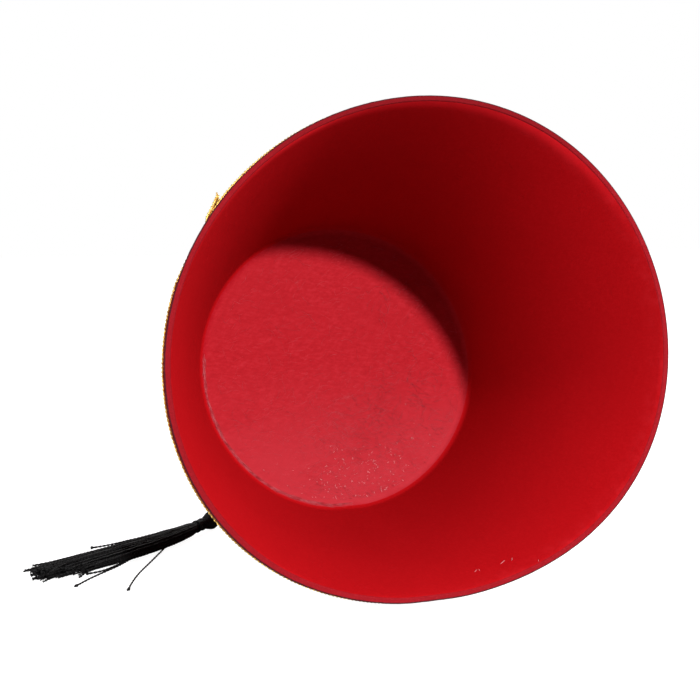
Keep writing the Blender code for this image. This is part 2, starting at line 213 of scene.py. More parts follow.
BRAID_DEPTH = depth_below(BRAID_RISE) + STAND_OFF
LEAN = math.atan2(BRAID_DEPTH - depth_below(CROWN_REST_RISE), CROWN_REST_RISE - BRAID_RISE)
RIM_HEIGHT = BRAID_DEPTH * math.cos(LEAN) + BRAID_RISE * math.sin(LEAN) - PRESSED_IN
FRONT = -depth_below(0) * math.sin(LEAN)
BACK = HEIGHT * math.cos(LEAN) + (CROWN_RADIUS - CORNER_RADIUS) * math.sin(LEAN)
HAT_POSE = Matrix.Translation((0, -(FRONT + BACK) / 2, RIM_HEIGHT)) @ Matrix.Rotation(
    -(math.radians(90) + LEAN), 4, "X"
)
POSE_TURN = np.array(HAT_POSE.to_3x3())
POSE_MOVE = np.array(HAT_POSE.translation)


def on_hat(radius, angle, rise):
    """Points of the upright hat, from arrays that broadcast."""
    radius, angle, rise = np.broadcast_arrays(radius, angle, rise)
    return np.stack([radius * np.cos(angle), -radius * np.sin(angle), rise], -1)


def press(points, angle, rise, share=1.0):
    """Upright points after the floor has pressed the hat's lowest strip flat."""
    behind = np.clip((rise - BRAID_BACK) / (CROWN_REST_RISE - BRAID_BACK), 0, 1)
    outermost = on_hat(wall_radius(rise, angle) + STAND_OFF * (1 - behind), angle, rise)
    low = (outermost @ POSE_TURN.T + POSE_MOVE)[..., 2]
    lifted = points @ POSE_TURN.T + POSE_MOVE
    eased = np.clip(low, -PRESS_EASE, PRESS_EASE)
    pushed = np.where(low < -PRESS_EASE, -low, (PRESS_EASE - eased) ** 2 / (4 * PRESS_EASE))
    lifted[..., 2] += share * pushed
    return (lifted - POSE_MOVE) @ POSE_TURN


def settle(radius, angle, rise):
    """Upright points of the turned felt, out of round and pressed as it lies."""
    reach = radius / round_radius(rise)
    grown = radius + RIM_RADIUS * out_of_round(angle) * (1 - rise / HEIGHT) * reach
    return press(on_hat(grown, angle, rise), angle, rise, reach**4)


# Meshes


def new_object(name, vertices, faces, materials, matrix=None, face_slots=None, uvs=None):
    """A smooth shaded mesh object from arrays; faces are quads or lists of corners. The
    vertices are moved by the matrix, and where they were before is kept for the materials."""
    mesh = bpy.data.meshes.new(name)
    before = np.asarray(vertices, dtype=float)
    moved = before
    if matrix is not None:
        moved = before @ np.array(matrix.to_3x3()).T + np.array(matrix.translation)
    mesh.from_pydata(moved.tolist(), [], [list(f) for f in faces])
    kept = mesh.attributes.new("upright", "FLOAT_VECTOR", "POINT")
    kept.data.foreach_set("vector", before.astype(np.float32).ravel())
    for material in materials:
        mesh.materials.append(material)
    if face_slots is not None:
        mesh.polygons.foreach_set("material_index", np.asarray(face_slots, dtype=np.int32))
    if uvs is not None:
        layer = mesh.uv_layers.new(name="along")
        corners = np.empty(len(mesh.loops), dtype=np.int32)
        mesh.loops.foreach_get("vertex_index", corners)
        layer.uv.foreach_set("vector", np.asarray(uvs, dtype=np.float32)[corners].ravel())
    mesh.shade_smooth()
    mesh.update()
    obj = bpy.data.objects.new(name, mesh)
    bpy.context.scene.collection.objects.link(obj)
    return obj


def tubes(paths, radii, sides):
    """Tubes along many paths at once: paths (n, k, 3), radii (n, k). Returns vertices, faces
    and a place (round, along) for each vertex."""
    paths = np.asarray(paths, dtype=float)
    count, steps = paths.shape[:2]
    ahead = np.gradient(paths, axis=1)
    ahead /= np.linalg.norm(ahead, axis=2, keepdims=True)
    side = np.cross(ahead[:, 0], np.array([0.137, 0.271, 0.953]))
    side /= np.linalg.norm(side, axis=1, keepdims=True)
    across = np.empty_like(ahead)
    for i in range(steps):
        side = side - ahead[:, i] * np.sum(side * ahead[:, i], axis=1, keepdims=True)
        side /= np.linalg.norm(side, axis=1, keepdims=True)
        across[:, i] = side
    other = np.cross(ahead, across)
    turn = math.tau * np.arange(sides) / sides
    ring = (
        np.cos(turn)[None, None, :, None] * across[:, :, None]
        + np.sin(turn)[None, None, :, None] * other[:, :, None]
    )
    vertices = paths[:, :, None] + ring * np.asarray(radii)[:, :, None, None]
    index = np.arange(count * steps * sides).reshape(count, steps, sides)
    here, there = index[:, :-1], index[:, 1:]
    faces = np.stack(
        [here, np.roll(here, -1, axis=2), np.roll(there, -1, axis=2), there], -1
    ).reshape(-1, 4)
    faces = faces.tolist() + index[:, 0, ::-1].tolist() + index[:, -1].tolist()
    step = np.linalg.norm(np.diff(paths, axis=1), axis=2)
    along = np.concatenate([np.zeros((count, 1)), np.cumsum(step, axis=1)], axis=1)
    places = np.stack(
        np.broadcast_arrays(np.arange(sides)[None, None, :] / sides, along[:, :, None]), -1
    )
    return vertices.reshape(-1, 3), faces, places.reshape(-1, 2)


def join(groups):
    """Joins several (vertices, faces, places) into one."""
    vertices, faces, places, start = [], [], [], 0
    for group in groups:
        vertices.append(group[0])
        faces += [[corner + start for corner in face] for face in group[1]]
        places.append(group[2])
        start += len(group[0])
    return np.concatenate(vertices), faces, np.concatenate(places)


def smooth_path(points, apart):
    """Points a given distance apart on the smooth curve through the given ones."""
    points = np.asarray(points, dtype=float)
    ends = np.concatenate([[2 * points[0] - points[1]], points, [2 * points[-1] - points[-2]]])
    fine_steps = 16
    t = (np.arange(fine_steps) / fine_steps)[:, None]
    fine = []
    for before, start, end, after in zip(ends, ends[1:], ends[2:], ends[3:]):
        fine.append(
            0.5
            * (
                2 * start
                + (end - before) * t
                + (2 * before - 5 * start + 4 * end - after) * t**2
                + (3 * start - before - 3 * end + after) * t**3
            )
        )
    fine = np.concatenate(fine + [points[-1:]])
    along = np.concatenate([[0], np.cumsum(np.linalg.norm(np.diff(fine, axis=0), axis=1))])
    count = max(2, round(along[-1] / apart))
    target = np.linspace(0, along[-1], count + 1)
    return np.stack([np.interp(target, along, fine[:, k]) for k in range(3)], -1)


def twisted(path, plies, offset, pitch, start=0.0):
    """Helical plies round a path, as paths (plies, k, 3)."""
    path = np.asarray(path)
    ahead = np.gradient(path, axis=0)
    ahead /= np.linalg.norm(ahead, axis=1, keepdims=True)
    step = np.linalg.norm(np.diff(path, axis=0), axis=1)
    along = np.concatenate([[0], np.cumsum(step)])
    side = np.cross(ahead, [0.11, 0.23, 0.967])
    side /= np.linalg.norm(side, axis=1, keepdims=True)
    other = np.cross(ahead, side)
    made = []
    for ply in range(plies):
        turn = math.tau * (along / pitch + ply / plies) + start
        made.append(path + offset * (np.cos(turn)[:, None] * side + np.sin(turn)[:, None] * other))
    return np.stack(made)


# Materials


def node(tree, kind, inputs=None, **settings):
    made = tree.nodes.new(kind)
    for key, value in settings.items():
        setattr(made, key, value)
    for key, value in (inputs or {}).items():
        made.inputs[key].default_value = value
    return made


def new_material(name, **values):
    """A Principled material with plain values; returns it with its tree and shader."""
    made = bpy.data.materials.new(name)
    made.use_nodes = True
    tree = made.node_tree
    shader = tree.nodes["Principled BSDF"]
    for key, value in values.items():
        shader.inputs[key.replace("_", " ")].default_value = value
    return made, tree, shader


def stretched_noise(tree, scale, stretch, turn_deg=0.0, detail=3.0, rough=0.6):
    """Noise in the upright hat's coordinates, longer along the axis with the small share."""
    place = node(tree, "ShaderNodeAttribute", attribute_name="upright")
    mapping = node(
        tree,
        "ShaderNodeMapping",
        {"Scale": tuple(1 / share for share in stretch), "Rotation": (0, 0, math.radians(turn_deg))},
        vector_type="TEXTURE",
    )
    texture = node(tree, "ShaderNodeTexNoise", {"Scale": scale, "Detail": detail, "Roughness": rough})
    tree.links.new(place.outputs["Vector"], mapping.inputs["Vector"])
    tree.links.new(mapping.outputs["Vector"], texture.inputs["Vector"])
    return texture.outputs["Fac"]


def ramp(tree, value, stops):
    """Colours by value; stops are (position, (r, g, b))."""
    made = node(tree, "ShaderNodeValToRGB")
    elements = made.color_ramp.elements
    while len(elements) < len(stops):
        elements.new(0.5)
    for element, (position, colour) in zip(elements, stops):
        element.position = position
        element.color = (*colour, 1.0)
    tree.links.new(value, made.inputs["Fac"])
    return made.outputs["Color"]


def blend(tree, share, first, second):
    made = node(tree, "ShaderNodeMix", data_type="RGBA")
    colour_inputs = [socket for socket in made.inputs if socket.type == "RGBA"]
    factor = made.inputs["Factor"]
    for socket, value in ((factor, share), (colour_inputs[0], first), (colour_inputs[1], second)):
        if isinstance(value, bpy.types.NodeSocket):
            tree.links.new(value, socket)
        else:
            socket.default_value = value if socket is factor else (*value, 1.0)
    return next(socket for socket in made.outputs if socket.type == "RGBA")


def span(tree, value, low, high, to_low=0.0, to_high=1.0):
    """The value from low to high eased into to_low to to_high."""
    made = node(
        tree,
        "ShaderNodeMapRange",
        {"From Min": low, "From Max": high, "To Min": to_low, "To Max": to_high},
        interpolation_type="SMOOTHSTEP",
    )
    tree.links.new(value, made.inputs["Value"])
    return made.outputs["Result"]


def combine(tree, kind, first, second):
    made = node(tree, "ShaderNodeMath", operation=kind)
    for socket, value in zip(made.inputs, (first, second)):
        if isinstance(value, bpy.types.NodeSocket):
            tree.links.new(value, socket)
        else:
            socket.default_value = value
    return made.outputs["Value"]


def bump(tree, shader, height, strength, distance, after=None):
    made = node(tree, "ShaderNodeBump", {"Strength": strength, "Distance": distance})
    tree.links.new(height, made.inputs["Height"])
    if after is not None:
        tree.links.new(after, made.inputs["Normal"])
    tree.links.new(made.outputs["Normal"], shader.inputs["Normal"])
    return made.outputs["Normal"]


def own_place(tree):
    """Sockets of x, y and z in the upright hat's coordinates."""
    place = node(tree, "ShaderNodeAttribute", attribute_name="upright")
    apart = node(tree, "ShaderNodeSeparateXYZ")
    tree.links.new(place.outputs["Vector"], apart.inputs["Vector"])
    return apart.outputs["X"], apart.outputs["Y"], apart.outputs["Z"]


def make_wall_felt():
    """Pressed felt of the wall: smooth, deep red, with a looser band next to the rim."""
    made, tree, shader = new_material(
        "wall_felt",
        Roughness=0.80,
        Specular_IOR_Level=0.03,
    )
    fine = stretched_noise(tree, 1100, (1.0, 1.0, 0.5), detail=4)
    cloud = stretched_noise(tree, 38, (1.0, 1.0, 1.0), detail=3)
    stops = (
        (0.30, (0.275, 0.0018, 0.0037)),
        (0.52, (0.300, 0.0022, 0.0042)),
        (0.74, (0.330, 0.0036, 0.0062)),
    )
    base = ramp(tree, fine, stops)
    base = blend(tree, span(tree, cloud, 0.35, 0.70, 0.0, 0.35), base, (0.280, 0.0018, 0.0036))
    across, down, rise = own_place(tree)
    patches = stretched_noise(tree, 150, (1.0, 1.0, 0.7), detail=5, rough=0.75)
    near_rim = combine(
        tree, "MULTIPLY", span(tree, rise, 0.011, 0.0015), span(tree, patches, 0.42, 0.68, 0.15, 1.0)
    )
    on_right = combine(tree, "MULTIPLY", near_rim, span(tree, across, -0.03, 0.05, 0.0, 0.6))
    base = blend(tree, on_right, base, (0.360, 0.0080, 0.0125))
    # At the top the thin felt lets a little light through next to the rim.
    at_top = combine(tree, "MULTIPLY", span(tree, rise, 0.0065, 0.0005), span(tree, down, -0.025, -0.085))
    base = blend(tree, combine(tree, "MULTIPLY", at_top, 0.9), base, (0.560, 0.0090, 0.0150))
    tree.links.new(base, shader.inputs["Base Color"])
    coarse = bump(tree, shader, patches, 0.10, 0.0004)
    bump(tree, shader, fine, 0.14, 0.0002, coarse)
    return made


def make_crown_felt():
    """Looser felt inside the crown: pinker, with long fibres lying mostly one way."""
    made, tree, shader = new_material(
        "crown_felt",
        Roughness=0.68,
        Specular_IOR_Level=0.05,
    )
    long_fibres = stretched_noise(tree, 900, (0.30, 1.0, 1.0), 10, detail=5, rough=0.7)
    crossing = stretched_noise(tree, 800, (0.40, 1.0, 1.0), -42, detail=4, rough=0.7)
    patches = stretched_noise(tree, 60, (0.5, 1.0, 1.0), 8, detail=4)
    most, rest = combine(tree, "MULTIPLY", long_fibres, 0.6), combine(tree, "MULTIPLY", crossing, 0.4)
    felted = combine(tree, "ADD", most, rest)
    stops = (
        (0.36, (0.240, 0.0030, 0.0072)),
        (0.50, (0.275, 0.0046, 0.0094)),
        (0.64, (0.315, 0.0100, 0.0170)),
    )
    base = ramp(tree, felted, stops)
    base = blend(tree, span(tree, patches, 0.40, 0.72, 0.0, 0.4), base, (0.260, 0.0040, 0.0084))
    # Painted sheen: the lower part of the crown is made lighter and pinker, in patches.
    down = own_place(tree)[1]
    uneven = span(tree, patches, 0.25, 0.60, 0.55, 1.0)
    painted_sheen = combine(tree, "MULTIPLY", span(tree, down, -0.010, 0.062), uneven)
    base = blend(tree, combine(tree, "MULTIPLY", painted_sheen, 0.62), base, (0.345, 0.0240, 0.0345))
    tree.links.new(base, shader.inputs["Base Color"])
    coarse = bump(tree, shader, patches, 0.12, 0.0008)
    bump(tree, shader, felted, 0.32, 0.0003, coarse)
    return made


def make_cut_felt():
    """The cut edge of the rim: lighter inside, darker where it meets the outside."""
    made, tree, shader = new_material(
        "cut_felt",
        Roughness=0.88,
        Specular_IOR_Level=0.04,
    )
    fine = stretched_noise(tree, 1600, (1.0, 1.0, 1.0), detail=4, rough=0.7)
    patches = stretched_noise(tree, 260, (1.0, 1.0, 1.0), detail=4, rough=0.7)
    stops = (
        (0.30, (0.150, 0.0032, 0.0060)),
        (0.55, (0.190, 0.0052, 0.0088)),
        (0.75, (0.235, 0.0120, 0.0175)),
    )
    base = ramp(tree, fine, stops)
    base = blend(tree, span(tree, patches, 0.4, 0.7, 0.0, 0.6), base, (0.160, 0.0034, 0.0062))
    across, down, _ = own_place(tree)
    # Painted shade: the cut edge is made darker towards the top and towards the left.
    base = blend(tree, span(tree, down, -0.045, -0.090, 0.0, 0.65), base, (0.085, 0.0020, 0.0035))
    base = blend(tree, span(tree, across, -0.04, -0.090, 0.0, 0.35), base, (0.120, 0.0026, 0.0045))
    tree.links.new(base, shader.inputs["Base Color"])
    bump(tree, shader, fine, 0.6, 0.0004)
    return made


def make_rim_shade():
    """Painted shade: a dark outer corner of the cut edge, where it turns away from the light."""
    made, tree, shader = new_material("rim_shade", Roughness=0.9, Specular_IOR_Level=0.05)
    fine = stretched_noise(tree, 1300, (1.0, 1.0, 1.0), detail=4, rough=0.7)
    stops = (
        (0.3, (0.028, 0.004, 0.006)),
        (0.6, (0.050, 0.006, 0.009)),
        (0.8, (0.090, 0.008, 0.012)),
    )
    base = ramp(tree, fine, stops)
    tree.links.new(base, shader.inputs["Base Color"])
    bump(tree, shader, fine, 0.5, 0.0003)
    return made


def make_fibre_material(name, dark, light, rough, specular):
    made, tree, shader = new_material(name, Roughness=rough, Specular_IOR_Level=specular)
    base = ramp(tree, stretched_noise(tree, 240, (1.0, 1.0, 1.0), detail=2), ((0.35, dark), (0.65, light)))
    tree.links.new(base, shader.inputs["Base Color"])
    bump(tree, shader, stretched_noise(tree, 5200, (1.0, 1.0, 1.0), detail=1), 0.2, 0.00005)
    return made


def thread_bump(tree, shader, lines_round, pitch, strength, distance):
    """Fine diagonal lines round a thread, from its along map."""
    place = node(tree, "ShaderNodeTexCoord")
    mapping = node(tree, "ShaderNodeMapping", {"Scale": (lines_round, 1 / pitch, 1.0)})
    apart = node(tree, "ShaderNodeSeparateXYZ")
    tree.links.new(place.outputs["UV"], mapping.inputs["Vector"])
    tree.links.new(mapping.outputs["Vector"], apart.inputs["Vector"])
    total = combine(tree, "ADD", apart.outputs["X"], apart.outputs["Y"])
    wave = combine(tree, "SINE", combine(tree, "MULTIPLY", total, math.tau), 0.0)
    bump(tree, shader, wave, strength, distance)
    return wave


def make_gold():
    made, tree, shader = new_material("gold_thread", Metallic=0.85, Roughness=0.38)
    wave = thread_bump(tree, shader, 2, 0.0011, 0.7, 0.00012)
    tarnish = stretched_noise(tree, 300, (1.0, 1.0, 1.0), detail=3)
    stops = (
        (0.35, (0.46, 0.27, 0.055)),
        (0.55, (0.74, 0.50, 0.13)),
        (0.75, (0.92, 0.70, 0.27)),
    )
    base = ramp(tree, tarnish, stops)
    # Painted shade: the gold is darker in the grooves between the twists.
    base = blend(tree, span(tree, wave, -1.0, 1.0, 0.45, 0.0), base, (0.36, 0.20, 0.04))
    tree.links.new(base, shader.inputs["Base Color"])
    return made


def make_black_thread():
    made, tree, shader = new_material(
        "black_thread", Roughness=0.55, Specular_IOR_Level=0.12
    )
    wave = thread_bump(tree, shader, 2, 0.0013, 0.6, 0.0001)
    patches = stretched_noise(tree, 220, (1.0, 1.0, 1.0), detail=2)
    base = ramp(tree, patches, ((0.3, (0.0010, 0.0010, 0.0011)), (0.7, (0.0026, 0.0025, 0.0027))))
    # Painted shade: the thread is darker in the grooves between the twists.
    base = blend(tree, span(tree, wave, -1.0, 1.0, 0.5, 0.0), base, (0.0007, 0.0007, 0.0008))
    tree.links.new(base, shader.inputs["Base Color"])
    return made


def make_button_cloth():
    made, tree, shader = new_material(
        "button_cloth", Roughness=0.72, Specular_IOR_Level=0.25, Sheen_Weight=0.1
    )
    place = node(tree, "ShaderNodeAttribute", attribute_name="upright")
    waves = []
    for direction in ("X", "Y"):
        values = {"Scale": 460.0, "Distortion": 0.6, "Detail": 1.0}
        wave = node(tree, "ShaderNodeTexWave", values, bands_direction=direction)
        tree.links.new(place.outputs["Vector"], wave.inputs["Vector"])
        waves.append(wave.outputs["Fac"])
    weave = combine(tree, "MAXIMUM", waves[0], waves[1])
    base = ramp(tree, weave, ((0.2, (0.0035, 0.0033, 0.0035)), (0.9, (0.014, 0.013, 0.014))))
    tree.links.new(base, shader.inputs["Base Color"])
    bump(tree, shader, weave, 0.5, 0.0002)
    return made


# Camera and the places that it sees


def make_camera():
    data = bpy.data.cameras.new("camera")
    data.sensor_width = 36.0
    data.lens = 36.0 * FOCAL_PX / IMAGE_PX
    data.clip_start = 0.01
    camera = bpy.data.objects.new("camera", data)
    bpy.context.scene.collection.objects.link(camera)
    camera.location = CAMERA_AT
    camera.rotation_euler = (
        math.radians(90 - CAMERA_PITCH_DEG),
        0,
        -math.radians(CAMERA_YAW_DEG),
    )
    bpy.context.scene.camera = camera
    bpy.context.view_layer.update()
    return camera


def on_floor(camera, pixel, height):
    """The point at this height above the floor that the photograph shows at the pixel."""
    half = IMAGE_PX / 2
    ray = Vector(((pixel[0] - half) / FOCAL_PX, (half - pixel[1]) / FOCAL_PX, -1.0))
    ray = camera.matrix_world.to_3x3() @ ray
    start = camera.matrix_world.translation
    return np.array(start + ray * ((height - start.z) / ray.z))


# Cord and tassel

TASSEL_PLACE = Matrix.Translation((HEAD_X, HEAD_Y, 0)) @ Matrix.Rotation(
    math.radians(TASSEL_HEADING_DEG), 4, "Z"
)
TASSEL_TURN = np.array(TASSEL_PLACE.to_3x3())
TASSEL_MOVE = np.array(TASSEL_PLACE.translation)


def skirt_at(along):
    """Half width and half height of the skirt, in metres, at shares of its length."""
    rows = [row["along"] for row in SKIRT_SECTIONS]
    return [
        np.interp(along, rows, [row[key] for row in SKIRT_SECTIONS]) * TASSEL_LENGTH
        for key in ("half_width", "half_height")
    ]


def tassel_line(along):
    """Middle of the tassel at shares of its length, along +X."""
    neck_end = (NECK_AT + BINDING_WIDTH / 2 + GAP) / TASSEL_LENGTH
    lowered = np.clip((along - neck_end) / (LIES_FLAT_AT - neck_end), 0, 1)
    height = HEAD_RADIUS + (skirt_at(along)[1] + GAP - HEAD_RADIUS) * lowered
    sideways = SKIRT_BOW * TASSEL_LENGTH * np.sin(math.pi * along)
    return np.stack(np.broadcast_arrays(along * TASSEL_LENGTH, sideways, height), -1)


def in_world(points):
    return np.asarray(points) @ TASSEL_TURN.T + TASSEL_MOVE


def cord_path():
    leave = HAT_POSE @ Vector((0, 0, HEIGHT + GAP + BUTTON_HEIGHT + GAP))
    outward = (HAT_POSE.to_3x3() @ Vector((0, 0, 1))).normalized()
    head = Vector(in_world(tassel_line(np.array(0.0))))
    last = Vector(CORD_ROUTE[-1])
    arrive = head + (last - head).normalized() * (HEAD_RADIUS + GAP)
    return [leave, leave + outward * CORD_DIAMETER] + [Vector(p) for p in CORD_ROUTE] + [arrive]


def make_cord(material):
    """Three plies twisted round the cord's middle line. The cord's end is inside the tassel."""
    inside = in_world(tassel_line(np.linspace(0, CORD_INSIDE, 12)))
    path = smooth_path(cord_path() + [Vector(point) for point in inside], 0.0007)
    ply_radius = CORD_DIAMETER * 0.25
    plies = twisted(path, CORD_PLIES, CORD_DIAMETER / 2 - ply_radius, CORD_TWIST)
    plies[..., 2] = np.maximum(plies[..., 2], ply_radius + 0.0001)
    vertices, faces, places = tubes(plies, np.full(plies.shape[:2], ply_radius), 8)
    cord = new_object("twisted_cord", vertices, faces, [material], uvs=places)
    return cord, path


def thread_disc(count):
    """Even places in a unit disc."""
    index = np.arange(count) + 0.5
    radius = np.sqrt(index / count)
    turn = index * math.pi * (3 - math.sqrt(5))
    return radius * np.cos(turn), radius * np.sin(turn)


def skirt_threads():
    """Middle lines of the skirt's threads, from inside the neck to their cut ends."""
    across, upward = thread_disc(THREAD_COUNT)
    steps = 54
    start = (NECK_AT - BINDING_WIDTH / 2) / TASSEL_LENGTH
    ends = np.interp(across, *zip(*((row["across"], row["end"]) for row in SKIRT_ENDS)))
    ends = np.clip(ends + rng.normal(0, 0.018, THREAD_COUNT), 0.74, 1.03)
    t = np.linspace(0, 1, steps)[None, :]
    along = start + (ends[:, None] - start) * t
    half_width, half_height = skirt_at(along)
    spread = 0.93 - THREAD_RADIUS / np.maximum(half_width, 1e-4)
    drift = np.clip((along - 0.25) / 0.75, 0, 1) ** 1.6
    wander = rng.normal(0, 1, (2, THREAD_COUNT, 1)) * drift * 0.13
    sway = 0.05 * np.sin(along * rng.uniform(9, 16, (THREAD_COUNT, 1)) + rng.uniform(0, 6, (THREAD_COUNT, 1)))
    middle = tassel_line(along)
    lines = middle.copy()
    lines[..., 1] += half_width * (across[:, None] * spread + wander[0] + sway * drift)
    splay = np.clip((t - 0.86) / 0.14, 0, 1) ** 1.5 * rng.normal(0.10, 0.35, (THREAD_COUNT, 1))
    lines[..., 1] += 0.0045 * splay
    lines[..., 2] += (half_height - THREAD_RADIUS * 0.6) * (upward[:, None] * 0.95 + wander[1] * 0.5)
    floor = THREAD_RADIUS + 0.00025
    lines[..., 2] = np.maximum(lines[..., 2], floor)
    return in_world(lines)


def loose_thread(camera, pixels):
    """A stray thread that leaves the skirt and comes down to lie on the floor."""
    heights = np.linspace(0.0016, THREAD_RADIUS + 0.0002, len(pixels))
    points = [on_floor(camera, pixel, height) for pixel, height in zip(pixels, heights)]
    path = smooth_path(points, 0.001)
    t = np.linspace(0, 1, 54)
    old = np.linspace(0, 1, len(path))
    return np.stack([np.interp(t, old, path[:, k]) for k in range(3)], -1)


def thread_plies(lines, radius, wider=0.25):
    """Two fine plies for each thread; the last stretch is untwisted and wider by a share."""
    paths, radii = [], []
    steps = lines.shape[1]
    end = np.clip((np.linspace(0, 1, steps) - 0.95) / 0.05, 0, 1)
    for index, line in enumerate(lines):
        plies = twisted(line, 2, radius * 0.52, 0.0034, start=index * 1.7)
        plies = line + (plies - line) * (1 + 0.9 * end)[None, :, None]
        plies[..., 2] = np.maximum(plies[..., 2], radius * 0.62 + 0.00012)
        paths += list(plies)
        radii += [radius * 0.62 * (1 + wider * end)] * 2
    return np.stack(paths), np.stack(radii)


def head_threads():
    """Threads that go over the head, from the cord to the neck."""
    count, steps = 34, 16
    neck_start = (NECK_AT - BINDING_WIDTH / 2) / TASSEL_LENGTH
    lines = []
    for index in range(count):
        turn = math.tau * index / count
        bend = np.linspace(0.16, math.radians(HEAD_ROUND_DEG), steps - 5)
        radius = HEAD_RADIUS * 0.94 * np.sin(bend)
        x = -HEAD_RADIUS * np.cos(bend)
        neck = neck_start * TASSEL_LENGTH
        radius = np.concatenate([radius, np.linspace(radius[-1], NECK_RADIUS, 5)[1:], [NECK_RADIUS]])
        x = np.concatenate([x, np.linspace(x[-1], neck, 5)[1:], [neck + 0.001]])
        twist = turn + 0.5 * (x / HEAD_RADIUS)
        middle = tassel_line(x / TASSEL_LENGTH)
        line = middle + np.stack([0 * x, radius * np.cos(twist), radius * np.sin(twist)], -1)
        lines.append(line)
    return in_world(np.stack(lines))


def make_tassel(material, camera):
    """Head, skirt threads and loose threads in one joined mesh, round a solid core."""
    lines = skirt_threads()
    paths, radii = thread_plies(lines, THREAD_RADIUS)
    skirt = tubes(paths, radii, 4)
    loose = np.stack([loose_thread(camera, pixels) for pixels in LOOSE_THREADS])
    loose_paths, loose_radii = thread_plies(loose, THREAD_RADIUS * 1.3, 0.8)
    strays = tubes(loose_paths, loose_radii, 5)
    head = head_threads()
    head_part = tubes(head, np.full(head.shape[:2], 0.00040), 5)
    bend = np.linspace(0.1, math.radians(HEAD_ROUND_DEG), 12)
    core_x = np.concatenate([-HEAD_RADIUS * np.cos(bend), np.linspace(0.0062, 0.045, 14)])
    core_radius = np.concatenate([HEAD_RADIUS * 0.95 * np.sin(bend), np.full(14, NECK_RADIUS * 0.95)])
    core = tubes(in_world(tassel_line(core_x / TASSEL_LENGTH))[None], core_radius[None], 20)
    vertices, faces, places = join([skirt, strays, head_part, core])
    return new_object("thread_tassel", vertices, faces, [material], uvs=places)


def make_binding(material):
    """Thread wound round the neck: a close helix over the binding's width."""
    steps = BINDING_TURNS * 28
    t = np.linspace(0, 1, steps)
    radius = BINDING_WIDTH / BINDING_TURNS / 2
    x = NECK_AT + (t - 0.5) * (BINDING_WIDTH - 2 * radius)
    turn = math.tau * BINDING_TURNS * t
    around = NECK_RADIUS + GAP + 0.0004 - 0.00015 * np.cos(math.tau * (t - 0.5))
    start, end = [
        tassel_line(np.array((NECK_AT + side * (BINDING_WIDTH / 2 + GAP)) / TASSEL_LENGTH))
        for side in (-1, 1)
    ]
    ahead = (end - start) / np.linalg.norm(end - start)
    side = np.cross([0, 0, 1], ahead)
    side /= np.linalg.norm(side)
    up = np.cross(ahead, side)
    middle = (start + end) / 2
    line = (
        middle
        + (x - NECK_AT)[:, None] * ahead
        + (around * np.cos(turn))[:, None] * side
        + (around * np.sin(turn))[:, None] * up
    )
    line[:, 2] = np.maximum(line[:, 2], radius + 0.0003)
    vertices, faces, places = tubes(in_world(line)[None], np.full((1, steps), radius * 1.06), 8)
    return new_object("wound_binding", vertices, faces, [material], uvs=places)


# Felt


def felt_rows():
    """Rows (radius, rise, region) of the felt's section, from the outside of the crown over
    the rim to the inside of the crown."""
    corner_middle = round_radius(CROWN_REST_RISE) - CORNER_RADIUS / math.cos(TAPER)
    wall_deg = math.degrees(TAPER)

    def corner(radius, start_deg, end_deg, steps, region):
        for bend in np.radians(np.linspace(start_deg, end_deg, steps)):
            yield corner_middle + radius * math.cos(bend), CROWN_REST_RISE + radius * math.sin(bend), region

    rows = [(r, HEIGHT, "outside") for r in np.linspace(0.0006, corner_middle, 22)[:-1]]
    rows += list(corner(CORNER_RADIUS, 90, wall_deg, 9, "outside"))
    top = rows[-1][1]
    rows += [(round_radius(s), s, "outside") for s in np.linspace(top, 0.0012, 40)[1:]]
    soft = RIM_ROUNDING
    for bend in np.radians(np.linspace(15, 90, 5)):
        rows.append((round_radius(0) - soft + soft * math.cos(bend), soft - soft * math.sin(bend), "shade"))
    for share in np.linspace(0, 1, 5)[1:-1]:
        rows.append((round_radius(0) - soft - share * (WALL_IN - 2 * soft), 0.0, "cut"))
    for bend in np.radians(np.linspace(90, 10, 5)):
        radius = round_radius(0) - WALL_IN + soft - soft * math.cos(bend)
        rows.append((radius, soft - soft * math.sin(bend), "cut"))
    inner_top = CROWN_REST_RISE + (CORNER_RADIUS - FELT) * math.sin(TAPER)
    rows += [(round_radius(s) - WALL_IN, s, "inside") for s in np.linspace(0.0012, inner_top, 74)[:-1]]
    rows += list(corner(CORNER_RADIUS - FELT, wall_deg, 52, 6, "inside"))
    rows += list(corner(CORNER_RADIUS - FELT, 58, 90, 6, "crown"))
    rows += [(r, HEIGHT - FELT, "crown") for r in np.linspace(corner_middle, 0.0006, 34)[1:]]
    return rows


